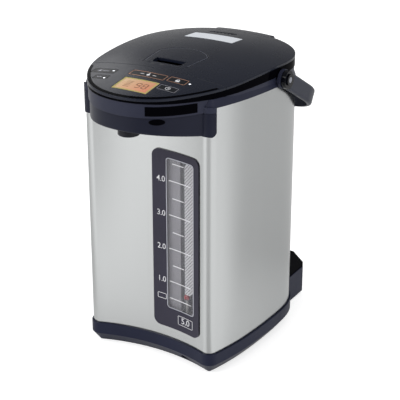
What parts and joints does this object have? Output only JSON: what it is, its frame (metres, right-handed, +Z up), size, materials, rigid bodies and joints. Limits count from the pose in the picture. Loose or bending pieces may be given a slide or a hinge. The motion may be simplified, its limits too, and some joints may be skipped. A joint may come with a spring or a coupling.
{
  "type": "electric thermo pot",
  "caption": "Tall heated water dispenser with a sloping dark lid, front spout beak, control panel, level gauge and bail handle",
  "frame": {"origin": "on the table under the middle of the whole pot's width and length, measured over the spout nose and the inlet hood", "axes": "+Z up, -Y towards the spout and the user, +X to the user's right"},
  "size_m": [0.2186, 0.2924, 0.347],
  "materials": {
    "brushed_shell": "fine upright brushing",
    "shoulder_satin": "satin",
    "beak_satin": "satin",
    "base_satin": "satin",
    "gloss_black": "high gloss",
    "lid_satin": "semi-gloss",
    "key_plastic": "semi-gloss",
    "display_amber": "back-lit liquid crystal window",
    "circuit_board": "solder mask",
    "black_plastic": "moulded",
    "milky_plastic": "light pipe",
    "white_label": "blank film",
    "inner_plastic": "moulded",
    "handle_plastic": "satin",
    "handle_grip": "fine grain",
    "soft_seal": "silicone",
    "foot_rubber": "matt",
    "screw_steel": "plated",
    "pin_steel": "ground",
    "vessel_steel": "drawn stainless",
    "gauge_trim": "semi-gloss",
    "gauge_clear": "smoked clear",
    "sight_glass": "clear",
    "float_red": "moulded",
    "post_white": "moulded",
    "heater_metal": "cast",
    "motor_metal": "zinc",
    "pump_plastic": "moulded",
    "contact_brass": "plated"
  },
  "bodies": {
    "pot": {"base_cover": "base_satin", "feet": "foot_rubber", "base_screws": "screw_steel", "body_shell": "brushed_shell", "top_frame": "shoulder_satin", "beak": "beak_satin", "spout_nozzle": "black_plastic", "beak_strip": "gloss_black", "beak_oval": "gloss_black", "panel_rim": "gloss_black", "panel_cover": "lid_satin", "display_window": "display_amber", "display_module": "black_plastic", "control_board": "circuit_board", "key_switches": "black_plastic", "light_pipes": "milky_plastic", "pivot_pins": "handle_plastic", "inner_vessel": "vessel_steel", "vacuum_jacket": "vessel_steel", "vessel_collar": "inner_plastic", "vessel_seat": "inner_plastic", "heater_plate": "heater_metal", "thermostats": "black_plastic", "pump_housing": "pump_plastic", "pump_motor": "motor_metal", "suction_hose": "soft_seal", "riser_hose": "soft_seal", "delivery_hose": "soft_seal", "sight_tube": "sight_glass", "float_post": "post_white", "gauge_frame": "gauge_trim", "gauge_window": "gauge_clear", "gauge_channel": "inner_plastic", "power_board": "circuit_board", "inlet_hood": "base_satin", "hood_top": "gloss_black", "inlet_socket": "black_plastic", "contact_pins": "contact_brass"},
    "lid": {"lid_cover": "lid_satin", "lid_rim": "gloss_black", "lid_liner": "inner_plastic", "inner_lid": "vessel_steel", "lid_gasket": "soft_seal", "steam_duct": "inner_plastic", "vent_grille": "lid_satin", "blank_label": "white_label", "hinge_cap": "lid_satin", "hinge_pin": "pin_steel", "lever_pin": "pin_steel"},
    "lever": {"lid_lever": "lid_satin"},
    "latch": {"latch_bolt": "black_plastic"},
    "handle": {"bail": "handle_plastic", "bail_grip": "handle_grip"},
    "dispense_key": {"key_dispense": "key_plastic"},
    "unlock_key": {"key_unlock": "key_plastic"},
    "timer_key": {"key_timer": "key_plastic"},
    "keep_warm_key": {"key_keep_warm": "key_plastic"},
    "reboil_key": {"key_reboil": "key_plastic"},
    "pump_rotor": {"impeller": "pump_plastic"},
    "level_ball": {"level_float": "float_red"}
  },
  "joints": [
    {"name": "lid_hinge", "type": "hinge", "parent": "pot", "child": "lid", "pos_m": [0, 0.12285, 0.322], "axis": [-1, 0, 0], "range_deg": [0, 80]},
    {"name": "lever_hinge", "type": "hinge", "parent": "lid", "child": "lever", "pos_m": [0, -0.01575, 0.3432], "axis": [-1, 0, 0], "range_deg": [0, 28], "stiffness_Nm_per_rad": 0.06},
    {"name": "latch_slide", "type": "slide", "parent": "lid", "child": "latch", "axis": [0, 1, 0], "range_m": [0, 0.004]},
    {"name": "handle_swing", "type": "hinge", "parent": "pot", "child": "handle", "pos_m": [0, 0.03025, 0.321], "axis": [1, 0, 0], "range_deg": [0, 126]},
    {"name": "dispense_press", "type": "slide", "parent": "pot", "child": "dispense_key", "axis": [0, 0, -1], "range_m": [0, 0.0008], "stiffness_N_per_m": 300},
    {"name": "unlock_press", "type": "slide", "parent": "pot", "child": "unlock_key", "axis": [0, 0, -1], "range_m": [0, 0.0008], "stiffness_N_per_m": 300},
    {"name": "timer_press", "type": "slide", "parent": "pot", "child": "timer_key", "axis": [0, 0, -1], "range_m": [0, 0.0008], "stiffness_N_per_m": 300},
    {"name": "keep_warm_press", "type": "slide", "parent": "pot", "child": "keep_warm_key", "axis": [0, 0, -1], "range_m": [0, 0.0008], "stiffness_N_per_m": 300},
    {"name": "reboil_press", "type": "slide", "parent": "pot", "child": "reboil_key", "axis": [0, 0, -1], "range_m": [0, 0.0008], "stiffness_N_per_m": 300},
    {"name": "impeller_spin", "type": "hinge", "parent": "pot", "child": "pump_rotor", "pos_m": [0.03, -0.03375, 0.028], "axis": [0, 0, 1], "continuous": true},
    {"name": "float_rise", "type": "slide", "parent": "pot", "child": "level_ball", "axis": [0, 0, 1], "range_m": [0, 0.176]}
  ],
  "couplings": [
    {"joint": "latch_slide", "follows": "lever_hinge", "m_per_rad": 0.00818}
  ]
}
